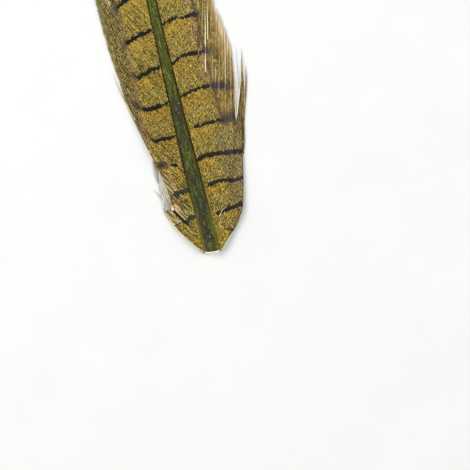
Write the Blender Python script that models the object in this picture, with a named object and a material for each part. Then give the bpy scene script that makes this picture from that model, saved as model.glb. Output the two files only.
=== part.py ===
"""A pheasant's side tail feather, cut off at the butt and lying on its underside.

The tip points along +Y and the upper side faces +Z. X and Y are zero at the middle of
the feather's bounding box, and Z is zero on the surface that the feather lies on.
Inside the functions, u runs along the shaft from the cut butt, v runs across it to the
right, and x is the distance that a barb has reached from the edge of the shaft.
"""

import bisect
import math
import random

import bmesh
import bpy

MM = 0.001

# The shaft, from its cut butt to its tip.
SHAFT_LENGTH = 256 * MM
SHAFT_HALF_WIDTH = ((0, 2.72), (26, 2.68), (46, 2.24), (66, 1.96), (85, 1.78), (120, 1.46), (160, 1.12),
                    (200, 0.78), (235, 0.46), (256, 0.22))  # (u, half width) in mm
SHAFT_HEIGHT_OF_WIDTH = 0.62  # the shaft's height as a share of its full width
SHAFT_FLAT = 0.62  # half width of the flat underside as a share of the half width
SHAFT_STATIONS = 40
CUT_FOREMOST = 0.5 * MM  # the cut end is a shallow convex curve,
CUT_AXIS = 1.0 * MM  # foremost at this distance to the right of the middle line,
CUT_CURVE = 0.06 / MM  # which falls back by this much times the square of the distance from there,
CUT_SLANT = 0.3 * MM  # and whose upper edge lies this far behind its lower one
BOW = 0.00018 / MM  # sideways curve of the shaft, per metre
BOW_FREE = 85 * MM  # the shaft's middle line crosses its own chord again at this u
LIFT_FROM = 150 * MM  # from here on the shaft leaves the surface,
TIP_LIFT = 2.4 * MM  # and its tip is this high above it

# The vanes. A margin is (u, distance from the shaft's middle line) in mm.
LEFT, RIGHT = -1, 1
MARGIN = {
    LEFT: ((0, 12.6), (18, 12.7), (28, 11.8), (36, 12.1), (43, 13.5), (50, 15.6), (57, 16.6), (67, 17.4),
           (78, 18.4), (92, 18.9), (115, 18.6), (145, 17.0), (175, 14.4), (205, 10.9), (230, 7.2),
           (246, 4.6), (256, 3.0), (262, 1.7), (266, 0.3)),
    RIGHT: ((0, 12.2), (9, 12.2), (12, 13.3), (15, 14.6), (28, 17.8), (38, 20.0), (43, 20.6), (47, 19.4),
            (51, 19.8), (57, 21.6), (64, 22.5), (70, 21.4), (80, 20.5), (95, 20.2), (120, 19.4), (150, 17.6),
            (180, 14.8), (210, 11.0), (233, 7.4), (248, 4.7), (257, 3.0), (263, 1.7), (267, 0.3)),
}
LEAN = {LEFT: 1.6, RIGHT: 1.0}  # how far a barb runs forward for each unit that it runs outward, at first,
LOOSE_LEAN = {LEFT: 4.6, RIGHT: 4.3}  # and where it hangs loose, beyond the reach at which it turns
TURN_REACH = {LEFT: (9.6 * MM, 8.1 * MM), RIGHT: (11.0 * MM, 11.4 * MM)}  # at the butt, and further on,
TURN_CHANGES = {LEFT: (4 * MM, 24 * MM), RIGHT: (10 * MM, 60 * MM)}  # with the change between these roots
TURN_WIDTH = 0.7 * MM  # how gently a barb turns
FULL_REACH = {LEFT: 14.5 * MM, RIGHT: 15.8 * MM}  # a vane at least this wide has its full arch
TIP_LEAN = 10  # the lean that the barbs have reached at the tip
TIP_LEAN_FROM = 170 * MM
TIP_CLOSES = (254 * MM, 263 * MM)  # between these the two vanes draw together in front of the shaft,
TIP_SLOT = 0.3 * MM  # up to this distance from the middle line
VANE_THICKNESS = 0.5 * MM
VANE_GAP = 0.3 * MM  # between the shaft's side and the roots of the barbs
ROOT_HEIGHT = 0.6  # height of the barb roots as a share of the shaft's height
MARGIN_HEIGHT = 0.3 * MM  # height of the margin's mid-plane above the surface
ARCH = 0.5 * MM  # how far a vane arches above the straight slope from root to margin

# The locks that the barbs of a vane gather in, one finger of the margin each.
LOCKS = 36
FIRST_ROOT = {LEFT: 0.4 * MM, RIGHT: -0.1 * MM}
LAST_ROOT = 252 * MM
FIRST_LOCK_ENDS = {LEFT: 6.6 * MM, RIGHT: 3.2 * MM}
CUT_LINE = {LEFT: 0.7 * MM, RIGHT: 0.25 * MM}  # no barb begins below this u
LOCK_ROWS = (0.0, 0.18, 0.38, 0.58, 0.74, 0.86, 0.94, 1.0)  # shares of the reach
SPLIT_ROW = 5  # locks are joined up to this row, and apart beyond it
DEEP_SPLIT = {LEFT: {1: 1}, RIGHT: {1: 4}}  # lock edge: the row that it is joined up to
DEEP_TAPER = 0.07  # share of a lock's width that an edge loses along a deep split,
LOCK_TAPER = 0.3  # and that each edge loses beyond SPLIT_ROW, up to the tip
TIP_POINT = 0.03  # share of the reach by which a lock's ridge outruns its edges
LOCK_RIDGE = 0.14 * MM
LOCK_HEIGHTS = 0.3 * MM  # the tips lie at heights that differ by up to this much
LONG_REACH = 22.9 * MM  # reach of the long loose lock along the right margin
LONG_ROWS = 8
LONG_TIP_SHARE = 0.3  # its width at the tip, as a share of its width at the split

SHAFT_COLOUR = (0.085, 0.115, 0.028, 1)
VANE_COLOUR = (0.36, 0.27, 0.07, 1)
SEED = 7


def smooth_curve(points):
    """A function through points given in mm, as a cubic curve with the slopes of its neighbours."""
    us = [u * MM for u, _ in points]
    vs = [v * MM for _, v in points]

    def slope(i):
        low, high = max(i - 1, 0), min(i + 1, len(us) - 1)
        return (vs[high] - vs[low]) / (us[high] - us[low])

    def value(u):
        if u <= us[0]:
            return vs[0]
        if u >= us[-1]:
            return vs[-1]
        i = bisect.bisect_right(us, u) - 1
        step = us[i + 1] - us[i]
        t = (u - us[i]) / step
        start = (1 + 2 * t) * (1 - t) ** 2 * vs[i] + t * (1 - t) ** 2 * step * slope(i)
        end = t * t * (3 - 2 * t) * vs[i + 1] + t * t * (t - 1) * step * slope(i + 1)
        return start + end

    return value


shaft_half_width = smooth_curve(SHAFT_HALF_WIDTH)
margin = {side: smooth_curve(points) for side, points in MARGIN.items()}


def bow(u):
    """Where the shaft's middle line is across the feather."""
    return BOW * u * (u - BOW_FREE)


def lift(u):
    """Height of the shaft's underside above the surface."""
    beyond = max(0.0, u - LIFT_FROM) / (SHAFT_LENGTH - LIFT_FROM)
    return TIP_LIFT * beyond**2


def shaft_height(u):
    return 2 * shaft_half_width(u) * SHAFT_HEIGHT_OF_WIDTH


def smooth(value, low, high):
    """0 at low, 1 at high, and a smooth step between them."""
    t = min(1.0, max(0.0, (value - low) / (high - low)))
    return t * t * (3 - 2 * t)


def turn_reach(side, root):
    """The reach at which a barb turns towards the tip."""
    first, later = TURN_REACH[side]
    return first + (later - first) * smooth(root, *TURN_CHANGES[side])


def barb_point(side, root, x):
    """(u, v) of the point that has reached x on the barb that starts at root."""
    forward = min(1.0, max(0.0, (root - TIP_LEAN_FROM) / (SHAFT_LENGTH - TIP_LEAN_FROM)))
    lean = LEAN[side] + (TIP_LEAN - LEAN[side]) * forward**2
    turned = TURN_WIDTH * math.log1p(math.exp((x - turn_reach(side, root)) / TURN_WIDTH))
    u = root + x * lean + turned * (LOOSE_LEAN[side] - LEAN[side])
    v = shaft_half_width(root) + VANE_GAP + x
    innermost = shaft_half_width(LAST_ROOT) + VANE_GAP + (u - LAST_ROOT) / TIP_LEAN
    return u, side * (v - smooth(u, *TIP_CLOSES) * (innermost - TIP_SLOT))


def barb_reach(side, root):
    """How far the barb gets before it meets the margin."""
    low, high = 0.0, 30 * MM
    for _ in range(40):
        x = (low + high) / 2
        u, v = barb_point(side, root, x)
        if abs(v) < margin[side](u) and u < MARGIN[side][-1][0] * MM:
            low = x
        else:
            high = x
    return low


def vane_height(side, root, x, reach):
    """Height of the vane's mid-plane: an arch from the side of the shaft down to the margin."""
    share = min(1.0, x / reach)
    u, _ = barb_point(side, root, x)
    top = ROOT_HEIGHT * shaft_height(root)
    arch = ARCH * 4 * share * (1 - share) * min(1.0, reach / FULL_REACH[side])
    return lift(u) + top + (MARGIN_HEIGHT - top) * share**1.6 + arch


def vane_vertex(bm, side, root, x, reach, raised=0.0):
    u, v = barb_point(side, root, x)
    u = max(u, CUT_LINE[side])
    z = vane_height(side, root, x, reach) + raised
    return bm.verts.new((bow(u) + v, u, z))


def lock_edges(side):
    """Where on the shaft each lock begins and ends."""
    first = FIRST_LOCK_ENDS[side]
    step = (LAST_ROOT - first) / (LOCKS - 1)
    return [FIRST_ROOT[side]] + [first + step * i for i in range(LOCKS)]


def narrowing(share, joined):
    """Share of a lock's width that its edge has lost at this share of the reach."""
    opened = (share - LOCK_ROWS[joined]) / (1 - LOCK_ROWS[joined])
    beyond = max(0.0, share - LOCK_ROWS[SPLIT_ROW]) / (1 - LOCK_ROWS[SPLIT_ROW])
    return DEEP_TAPER * min(1.0, 3 * opened) + (LOCK_TAPER - DEEP_TAPER) * beyond


def lock_rows(bm, side, index, edges, shared, raised):
    """The rows of three vertices of one lock: its two edges and the ridge between them."""
    begin, end = edges[index], edges[index + 1]
    rows = []
    for number, share in enumerate(LOCK_ROWS):
        row = []
        for edge, root, inward in ((index, begin, 1), (None, (begin + end) / 2, 0), (index + 1, end, -1)):
            joined = DEEP_SPLIT[side].get(edge, SPLIT_ROW)
            tip = raised * share**2
            if edge is None:
                reach = barb_reach(side, root)
                row.append(vane_vertex(bm, side, root, share * reach, reach, tip + LOCK_RIDGE))
            elif number <= joined:
                if (edge, number) not in shared:
                    reach = barb_reach(side, root)
                    shared[edge, number] = vane_vertex(bm, side, root, share * reach, reach)
                row.append(shared[edge, number])
            else:
                own = root + inward * narrowing(share, joined) * (end - begin)
                reach = barb_reach(side, own)
                blunt = 1 - TIP_POINT * (share == 1)
                row.append(vane_vertex(bm, side, own, share * reach * blunt, reach, tip))
        rows.append(row)
    return rows


def long_lock_rows(bm, edges):
    """The loose end of the right vane's first lock, which runs on outside the margin."""
    begin, end = edges[0], edges[1]
    middle, half = (begin + end) / 2, (end - begin) / 2
    rows = []
    for number in range(1, LONG_ROWS + 1):
        share = number / LONG_ROWS
        width = half * (1 - 2 * LOCK_TAPER) * (1 - (1 - LONG_TIP_SHARE) * share)
        row = []
        for across in (-1, 0, 1):
            root = middle + across * width
            start = barb_reach(RIGHT, root)
            x = start + (LONG_REACH - start) * share
            row.append(vane_vertex(bm, RIGHT, root, x, start, (across == 0) * LOCK_RIDGE))
        rows.append(row)
    return rows


def make_vane(name, side, material):
    """One vane: a thin arched sheet whose locks are joined near the shaft and apart at the margin."""
    chance = random.Random(SEED + side)
    bm = bmesh.new()
    edges = lock_edges(side)
    shared = {}
    for index in range(LOCKS):
        rows = lock_rows(bm, side, index, edges, shared, chance.uniform(0, LOCK_HEIGHTS))
        if side == RIGHT and index == 0:
            rows += long_lock_rows(bm, edges)
        for inner, outer in zip(rows, rows[1:]):
            for column in (0, 1):
                corners = (inner[column], inner[column + 1], outer[column + 1], outer[column])
                bm.faces.new(corners[::-side])
    vane = mesh_object(name, bm, material)
    solidify = vane.modifiers.new("Thickness", "SOLIDIFY")
    solidify.thickness = VANE_THICKNESS
    solidify.offset = 0
    return vane


def shaft_ring(u):
    """The shaft's cross-section: a flat underside, upright sides and a domed top, as (v, z) pairs."""
    half, height = shaft_half_width(u), shaft_height(u)
    right = ((SHAFT_FLAT, 0.0), (0.93, 0.2), (1.0, 0.48), (0.9, 0.78), (0.52, 0.96))
    ring = [(half * v, height * z) for v, z in right]
    return ring + [(0.0, height)] + [(-v, z) for v, z in reversed(ring)]


def cut_back(v, z):
    """How far along u the cut end lies at this place of the section."""
    return -CUT_FOREMOST + CUT_CURVE * (v - CUT_AXIS) ** 2 + CUT_SLANT * z / shaft_height(0)


def make_shaft(name, material):
    """The shaft: rings from the cut butt to the tip, closed by a fan at each end."""
    bm = bmesh.new()
    rings = []
    for station in range(SHAFT_STATIONS + 1):
        share = station / SHAFT_STATIONS
        u = SHAFT_LENGTH * share ** 1.15
        ring = []
        for v, z in shaft_ring(u):
            along = cut_back(v, z) if station == 0 else u
            ring.append(bm.verts.new((bow(along) + v, along, lift(along) + z)))
        rings.append(ring)
    for near, far in zip(rings, rings[1:]):
        for i in range(len(near)):
            j = (i + 1) % len(near)
            bm.faces.new((near[i], far[i], far[j], near[j]))
    for ring, turn in ((rings[0], 1), (rings[-1], -1)):
        height = sum(vertex.co.z for vertex in ring) / len(ring)
        along = cut_back(0, height) if turn == 1 else SHAFT_LENGTH
        centre = bm.verts.new((bow(along), along, height))
        for i in range(len(ring)):
            corners = (centre, ring[i], ring[(i + 1) % len(ring)])
            bm.faces.new(corners[::turn])
    shaft = mesh_object(name, bm, material)
    shaft.data.shade_smooth()
    shaft.data.set_sharp_from_angle(angle=0.7)
    return shaft


def mesh_object(name, bm, material):
    mesh = bpy.data.meshes.new(name)
    bm.to_mesh(mesh)
    bm.free()
    mesh.materials.append(material)
    thing = bpy.data.objects.new(name, mesh)
    bpy.context.scene.collection.objects.link(thing)
    return thing


def make_material(name, colour, roughness):
    material = bpy.data.materials.new(name)
    material.use_nodes = True
    shader = material.node_tree.nodes["Principled BSDF"]
    shader.inputs["Base Color"].default_value = colour
    shader.inputs["Roughness"].default_value = roughness
    shader.inputs["Metallic"].default_value = 0.0
    return material


def centre_on_origin(pieces):
    """Hangs the pieces on one empty that puts the middle of their bounding box at X = Y = 0."""
    bpy.context.view_layer.update()
    graph = bpy.context.evaluated_depsgraph_get()
    shapes = [piece.evaluated_get(graph) for piece in pieces]
    points = [vertex.co for shape in shapes for vertex in shape.data.vertices]
    feather = bpy.data.objects.new("feather", None)
    bpy.context.scene.collection.objects.link(feather)
    for axis in (0, 1):
        low, high = (pick(point[axis] for point in points) for pick in (min, max))
        feather.location[axis] = -(low + high) / 2
    for piece in pieces:
        piece.parent = feather


def main():
    for thing in list(bpy.data.objects):
        bpy.data.objects.remove(thing)
    vane_material = make_material("vane_barbs", VANE_COLOUR, 0.55)
    centre_on_origin([
        make_shaft("shaft", make_material("shaft_keratin", SHAFT_COLOUR, 0.35)),
        make_vane("left_vane", LEFT, vane_material),
        make_vane("right_vane", RIGHT, vane_material),
    ])


main()
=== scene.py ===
"""A pheasant's side tail feather in full detail: every barb is a closed strip of its own.

Lengths are in millimetres inside this script, and become metres when a mesh is made.
u runs along the shaft from the cut butt, v runs across it to the right, and x is how far
a barb has reached from the edge of the shaft. Its span is x as a share of its whole reach.
"""

import math
from types import SimpleNamespace

import bpy
import numpy as np
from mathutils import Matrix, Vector


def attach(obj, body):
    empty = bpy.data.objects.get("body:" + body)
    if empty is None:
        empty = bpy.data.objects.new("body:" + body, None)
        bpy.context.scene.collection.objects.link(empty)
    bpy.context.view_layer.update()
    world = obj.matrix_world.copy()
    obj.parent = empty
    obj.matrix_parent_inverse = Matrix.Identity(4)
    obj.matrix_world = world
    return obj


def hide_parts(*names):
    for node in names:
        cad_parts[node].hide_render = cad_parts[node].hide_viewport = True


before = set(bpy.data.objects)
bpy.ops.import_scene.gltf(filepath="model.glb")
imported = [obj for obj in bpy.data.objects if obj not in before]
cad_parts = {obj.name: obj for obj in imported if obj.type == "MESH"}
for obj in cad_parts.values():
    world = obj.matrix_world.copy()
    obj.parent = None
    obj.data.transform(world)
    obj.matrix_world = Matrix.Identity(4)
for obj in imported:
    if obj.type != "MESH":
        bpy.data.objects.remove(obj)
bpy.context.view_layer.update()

MM = 0.001
LEFT, RIGHT = -1, 1

# --- The feather's own shape, as in the solids ---

SHAFT_LENGTH = 256
SHAFT_HALF_WIDTH = ((0, 2.72), (26, 2.68), (46, 2.24), (66, 1.96), (85, 1.78), (120, 1.46), (160, 1.12),
                    (200, 0.78), (235, 0.46), (256, 0.22))
SHAFT_HEIGHT_OF_WIDTH = 0.62
SHAFT_SECTION = ((0.62, 0), (0.93, 0.2), (1, 0.48), (0.9, 0.78), (0.52, 0.96))
CUT_FOREMOST, CUT_AXIS, CUT_CURVE, CUT_SLANT = 0.5, 1, 0.06, 0.3
BOW, BOW_FREE = 0.00018, 85
LIFT_FROM, TIP_LIFT = 150, 2.4
MARGIN = {
    LEFT: ((0, 12.6), (18, 12.7), (28, 11.8), (36, 12.1), (43, 13.5), (50, 15.6), (57, 16.6), (67, 17.4),
           (78, 18.4), (92, 18.9), (115, 18.6), (145, 17), (175, 14.4), (205, 10.9), (230, 7.2),
           (246, 4.6), (256, 3), (262, 1.7), (266, 0.3)),
    RIGHT: ((0, 12.2), (9, 12.2), (12, 13.3), (15, 14.6), (28, 17.8), (38, 20), (43, 20.6), (47, 19.4),
            (51, 19.8), (57, 21.6), (64, 22.5), (70, 21.4), (80, 20.5), (95, 20.2), (120, 19.4),
            (150, 17.6), (180, 14.8), (210, 11), (233, 7.4), (248, 4.7), (257, 3), (263, 1.7),
            (267, 0.3)),
}
TIP_LEAN, TIP_LEAN_FROM = 10, 170
TIP_CLOSES, TIP_SLOT, LAST_ROOT = (254, 263), 0.3, 252
FULL_REACH = {LEFT: 14.5, RIGHT: 15.8}  # a vane at least this wide has its full arch
VANE_GAP, ROOT_HEIGHT, MARGIN_HEIGHT, ARCH = 0.3, 0.6, 0.3, 0.5
FARTHEST_REACH, FARTHEST_FORWARD = 30, 150  # bounds of the searches for a barb's end and root
HALVINGS = 40  # steps of each search


def smooth_curve(points):
    """A cubic curve through the points, as a function."""
    us, vs = np.array(points, float).T
    order = np.arange(len(us))
    low, high = np.maximum(order - 1, 0), np.minimum(order + 1, len(us) - 1)
    slope = (vs[high] - vs[low]) / (us[high] - us[low])

    def value(u):
        u = np.clip(u, us[0], us[-1])
        i = np.clip(np.searchsorted(us, u, side="right") - 1, 0, len(us) - 2)
        step = us[i + 1] - us[i]
        t = (u - us[i]) / step
        start = (1 + 2 * t) * (1 - t) ** 2 * vs[i] + t * (1 - t) ** 2 * step * slope[i]
        end = t * t * (3 - 2 * t) * vs[i + 1] + t * t * (t - 1) * step * slope[i + 1]
        return start + end

    return value


shaft_half_width = smooth_curve(SHAFT_HALF_WIDTH)
margin = {side: smooth_curve(points) for side, points in MARGIN.items()}


def smooth(value, low, high):
    """0 at low, 1 at high, and a smooth step between them."""
    t = np.clip((value - low) / (high - low), 0, 1)
    return t * t * (3 - 2 * t)


def bow(u):
    return BOW * u * (u - BOW_FREE)


def lift(u):
    return TIP_LIFT * (np.maximum(0, u - LIFT_FROM) / (SHAFT_LENGTH - LIFT_FROM)) ** 2


def shaft_height(u):
    return 2 * shaft_half_width(u) * SHAFT_HEIGHT_OF_WIDTH


# How far a barb runs forward for each unit outward: at first, and where it hangs loose.
LEAN = {LEFT: 1.6, RIGHT: 1}
LOOSE_LEAN = {LEFT: 4.6, RIGHT: 4.3}
TURN_WIDTH = 0.7
# The reach at which a barb turns to the tip: at the butt, and what two roots add between them.
TURN_REACH = {LEFT: (9.6, -1.5, 4, 24), RIGHT: (11, 0.4, 10, 60)}


def turn_reach(side, root):
    at_butt, added, start, end = TURN_REACH[side]
    return at_butt + added * smooth(root, start, end)


def barb_u(side, root, x):
    forward = np.clip((root - TIP_LEAN_FROM) / (SHAFT_LENGTH - TIP_LEAN_FROM), 0, 1)
    lean = LEAN[side] + (TIP_LEAN - LEAN[side]) * forward**2
    turned = TURN_WIDTH * np.logaddexp(0, (x - turn_reach(side, root)) / TURN_WIDTH)
    return root + x * lean + turned * (LOOSE_LEAN[side] - LEAN[side])


def barb_v(side, root, x):
    innermost = shaft_half_width(LAST_ROOT) + VANE_GAP + (barb_u(side, root, x) - LAST_ROOT) / TIP_LEAN
    drawn_in = smooth(barb_u(side, root, x), *TIP_CLOSES) * (innermost - TIP_SLOT)
    return shaft_half_width(root) + VANE_GAP + x - drawn_in


def barb_reach(side, root):
    """How far from the shaft's edge a barb of this root meets the margin."""
    low, high = np.zeros_like(root), np.full_like(root, FARTHEST_REACH)
    for _ in range(HALVINGS):
        x = (low + high) / 2
        u = barb_u(side, root, x)
        inside = (barb_v(side, root, x) < margin[side](u)) & (u < MARGIN[side][-1][0])
        low, high = np.where(inside, x, low), np.where(inside, high, x)
    return low


def vane_height(side, root, x, reach):
    share = np.clip(x / reach, 0, 1)
    top = ROOT_HEIGHT * shaft_height(root)
    arch = ARCH * 4 * share * (1 - share) * np.minimum(1, reach / FULL_REACH[side])
    return lift(barb_u(side, root, x)) + top + (MARGIN_HEIGHT - top) * share**1.6 + arch


def surface_height(side, u, v):
    """Height of the vane's middle surface where it is |v| from the middle line."""
    low, high = u - FARTHEST_FORWARD, u + 0
    for _ in range(HALVINGS):
        root = (low + high) / 2
        x = np.maximum(v - shaft_half_width(root) - VANE_GAP, 0)
        short = barb_u(side, root, x) < u
        low, high = np.where(short, root, low), np.where(short, high, root)
    root = np.clip(root, 0, LAST_ROOT)
    x = np.maximum(v - shaft_half_width(root) - VANE_GAP, 0)
    beyond = lift(u) - lift(barb_u(side, root, x))  # in front of the last barbs
    return vane_height(side, root, x, barb_reach(side, root)) + beyond


# the solid shaft's flat tip gives the place of u = v = 0 in the row frame
shaft_points = np.array([v.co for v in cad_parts["shaft"].data.vertices]) / MM
tip_points = shaft_points[shaft_points[:, 1] > shaft_points[:, 1].max() - 0.01]
ORIGIN = np.array([tip_points[:, 0].mean() - bow(SHAFT_LENGTH), tip_points[:, 1].mean() - SHAFT_LENGTH, 0])


def to_row(u, v, z):
    """Feather coordinates to the row frame, both in mm."""
    return np.stack([bow(u) + v, u + 0 * v, z + 0 * v], axis=-1) + ORIGIN


# --- Markings ---

# The dark bars from the butt on: u where |v| is as in BAR_AT, then the |v| where the bar starts
# and ends, its thickness, the |v| that its smear reaches, and the smear's strength. The first
# row on the left has no bar: it is there for the ground, which runs from one row to the next.
BAR_AT = np.array([2.5, 6, 10, 14, 19])
BARS = {
    LEFT: (
        (5.5, 5, 4.5, 4, 4, 30, 31, 0.1, 0, 0),
        (13.4, 12.2, 11.6, 11.4, 11.4, 2.6, 10.4, 1.8, 10.5, 0),
        (22.7, 22, 22.3, 23, 23, 2.2, 8.6, 1.9, 9.4, 0.8),
        (31.3, 31.9, 33.2, 33.6, 33.6, 4.4, 6.4, 1.7, 11.2, 1.6),
        (41.5, 41.5, 41.6, 46, 46, 2.2, 10.9, 1.45, 13, 0.9),
        (53, 52.7, 52.3, 55.6, 56, 2.2, 11.2, 1.6, 15.5, 1),
        (65.6, 65.1, 64, 66.2, 66.6, 2.2, 10.9, 1.7, 14, 0.9),
        (78.6, 78.1, 76.6, 75, 74, 2.2, 11.8, 1.8, 14, 0.7),
        (92, 91.6, 90, 87.4, 86, 2.2, 12, 1.7, 15, 1),
    ),
    RIGHT: (
        (5.6, 6.6, 5.6, 5.2, 5, 7.2, 9.3, 1.5, 10, 0.6),
        (12.2, 12.2, 13.4, 13.5, 13.3, 4.5, 14.6, 1.7, 15.5, 0.6),
        (21.6, 23.1, 22.9, 22, 22.4, 3.8, 16.6, 1.55, 17.5, 0.6),
        (31.7, 32.5, 32.4, 31.8, 31, 3.3, 18.6, 1.75, 20, 0.6),
        (43.8, 42.7, 43.4, 43, 42.4, 4.2, 14.5, 1.5, 21, 1),
        (54.1, 55.1, 55.7, 55.2, 54, 2.2, 13, 1.45, 22.5, 1),
        (65.9, 67.5, 67.7, 67.5, 66.6, 1.8, 13.6, 1.65, 19, 1),
        (79.6, 80.8, 80.3, 80.5, 79.6, 1.4, 14.6, 1.5, 15.4, 0.9),
    ),
}
BAR_SPACING = 13.6  # of the bars that follow, up to the tip
WAIST = {LEFT: 0.05, RIGHT: 0.28}  # share by which a bar is thinner at its middle
SMEAR_FADES = {LEFT: 1.5, RIGHT: 5}  # the length over which a smear fades out
# Rows of the left vane that differ from the rest:
BAR_AT_SPLIT = 1  # goes on behind the split as a thin line
BAR_WITH_STAIN = 3  # its smear stands apart from it,
STAIN_GAP = 1.7  # by this much
THIN_FROM_BAR = 3  # it and all that follow are thinner next to the shaft


def all_bars(side):
    """The bars above, and the ones that follow them to the tip with their own small differences."""
    chance = np.random.default_rng(23 + side)
    rows = [np.array(row, float) for row in BARS[side]]
    while rows[-1][0] < SHAFT_LENGTH + BAR_SPACING:
        last = rows[-1]
        row = last.copy()
        row[:5] = last[0] + BAR_SPACING * chance.uniform(0.94, 1.06) + chance.normal(0, 0.5, 5).cumsum()
        row[3:5] -= (0.6, 1.5)
        reach = max(1.5, margin[side](row[0]))
        row[5] = chance.uniform(1.2, 2.6)
        row[6] = reach * chance.uniform(0.66, 0.74)
        row[7] = chance.uniform(1.45, 1.8) * min(1, reach / 12) ** 0.3
        row[8] = reach * chance.uniform(0.8, 0.95)
        row[9] = chance.uniform(0.6, 1)
        rows.append(row)
    return np.array(rows)


def bar_marks(side, u, across, shift):
    """Per point: bar phase (a whole number on each bar), the bar's half thickness as a share of
    the spacing, and how strong its smear is there. shift moves the bars barb by barb."""
    bars = all_bars(side)
    at = np.array([np.interp(across, BAR_AT, row[:5]) for row in bars])  # bar, point
    moved = u + shift
    k = np.clip((at <= moved).sum(0) - 1, 0, len(bars) - 2)
    here = np.take_along_axis(at, k[None], 0)[0]
    following = np.take_along_axis(at, k[None] + 1, 0)[0]
    spacing = following - here
    phase = k + (moved - here) / spacing
    near = np.clip(np.round(phase).astype(int), 0, len(bars) - 1)
    starts, ends, thick, smear_ends, smears = (bars[near, i] for i in (5, 6, 7, 8, 9))
    body = smooth(across, starts - 0.5, starts + 0.4) * (1 - smooth(across, ends - 1.2, ends + 1))
    middle = starts + 0.45 * (ends - starts)
    waist = 1 - WAIST[side] * np.exp(-(((across - middle) / 2.2) ** 2))
    if side == LEFT:
        waist = waist * (1 - 0.35 * (1 - smooth(across, 3.8, 5.4)) * (near >= THIN_FROM_BAR))
    half = body * waist * thick / 2 / spacing
    if side == LEFT:
        half = np.where(near == BAR_AT_SPLIT, half * (1 - 0.62 * smooth(across, 6.2, 7.4)), half)
    fades_from = np.maximum(ends, smear_ends - SMEAR_FADES[side])
    apart = STAIN_GAP * (side == LEFT) * (near == BAR_WITH_STAIN)
    tail = smooth(across, ends - 1.5 + apart, ends + 0.5 + apart)
    tail = tail * (1 - smooth(across, fades_from, smear_ends + 0.5))
    return phase, half, smears * tail


# --- Barbs ---

PITCH = 0.62  # between the roots of neighbouring barbs
FIRST_ROOT, ROOTS_END = 0.3, 253.5
LOCK_SIZES, STRAND_SIZES = (7, 15), (2, 4)  # the fewest and the most barbs in one
STATIONS = 30  # points along each barb
HIDDEN = 0.7  # how far inside the shaft's edge a barb starts
SLIT_ROOT = 6.7  # the left vane is split apart here,
SLIT_PUSH = 0.95  # by this much to each side along the shaft
SPLIT_DEPTH = 0.07  # share of the reach by which the right vane ends short of its wisps
# The scatter of the ends, as a share of the reach: at the butt, and what two roots add between them.
RAGGED = {LEFT: (0.010, 0.006, 30, 60), RIGHT: (0.012, 0.018, 12, 30)}
LOOSENESS = {LEFT: 0.5, RIGHT: 1}
TILT = {LEFT: 0.06, RIGHT: 0}  # of the barbs of a strand, one above the other
BREADTH = {LEFT: 1.5, RIGHT: 1.7}  # of a barb, in spaces between barbs
RIDGE = {LEFT: 0.12, RIGHT: 0.05}  # height of a barb's ridge above its middle line
BUTT_LINE = {LEFT: (0.7, 1.25, 3.2, 2.5), RIGHT: (0.25, 0.85, 3.3, 3)}
# Where the loose part's looks begin and are full: in |v| past the turn, and in u.
LOOSE_PAST_TURN = {LEFT: (0.6, 2.2), RIGHT: (-0.7, 0.7)}
LOOSE_FROM = {LEFT: (38, 50), RIGHT: (40, 48)}
ACROSS_UNIT = 20  # the materials read |v| in this unit


def runs(count, least, most, chance):
    """Splits count barbs into runs: the number of each barb's run, and its place in it from -1 to 1."""
    number, place = np.zeros(count, int), np.zeros(count)
    at, run = 0, 0
    while at < count:
        size = int(chance.integers(least, most + 1))
        end = min(count, at + size)
        number[at:end] = run
        place[at:end] = np.linspace(-1, 1, end - at) if end - at > 1 else 0
        at, run = end, run + 1
    return number, place


def butt_line(side, across):
    """The lowest u that the cut has left of the vane at this |v|."""
    lowest, slope, start, length = BUTT_LINE[side]
    return lowest + slope * np.clip(across - start, 0, length)


def barb_roots(side):
    """Where the barbs of one vane grow, the lock and strand of each, and what chance gives it."""
    chance = np.random.default_rng(31 + side)
    b = SimpleNamespace(root=np.arange(FIRST_ROOT, ROOTS_END, PITCH))
    n = len(b.root)
    b.root += chance.uniform(-0.1, 0.1, n)
    b.lock, _ = runs(n, *LOCK_SIZES, chance)
    b.strand, b.strand_place = runs(n, *STRAND_SIZES, chance)
    b.own = chance.random(n)
    b.strand_own = chance.random(b.strand.max() + 1)[b.strand]
    b.lock_own = chance.random(b.lock.max() + 1)[b.lock]
    b.ragged = chance.normal(0, 1, n)
    b.wave = chance.uniform(0, 2 * math.pi, (n, 2))
    b.bleached = chance.random(n) < 0.05
    return b


def barb_ends(side, b):
    """The share of its full reach at which each barb ends."""
    least, added, start, end = RAGGED[side]
    scatter = least + added * smooth(b.root, start, end)
    ends = 1 + scatter * (b.ragged * 0.7 + (b.lock_own - 0.5) * 2.2) - 0.01
    ends = np.clip(ends, 0.8, 1.04)
    if side == RIGHT:
        ends -= SPLIT_DEPTH * smooth(b.root, 3, 4.4) * (1 - smooth(b.root, 8, 15))
        ends += 0.025 * smooth(b.root, 12, 18) * (1 - smooth(b.root, 36, 44))
    else:  # shorter on both sides of the split
        ends -= 0.12 * smooth(b.root, 1.5, 5) * (b.root < SLIT_ROOT)
        ends -= 0.16 * (b.root > SLIT_ROOT) * (1 - smooth(b.root, 10, 17))
    return ends


def barb_stations(side, root, length):
    """The reaches at even steps along each barb, from a little inside the shaft's edge."""
    far = -HIDDEN + (length + HIDDEN)[:, None] * np.linspace(0, 1, 160)
    path = np.hypot(np.diff(barb_u(side, root[:, None], far), axis=1), np.diff(far, axis=1))
    path = np.hstack([np.zeros((len(root), 1)), path.cumsum(1)])
    steps = np.linspace(0, 1, STATIONS)
    return np.stack([np.interp(steps * run[-1], run, row) for run, row in zip(path, far)])


def group_middle(root, group):
    """The middle root of the lock or strand that each barb is in."""
    return np.array([root[group == k].mean() for k in range(group.max() + 1)])[group]


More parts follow.
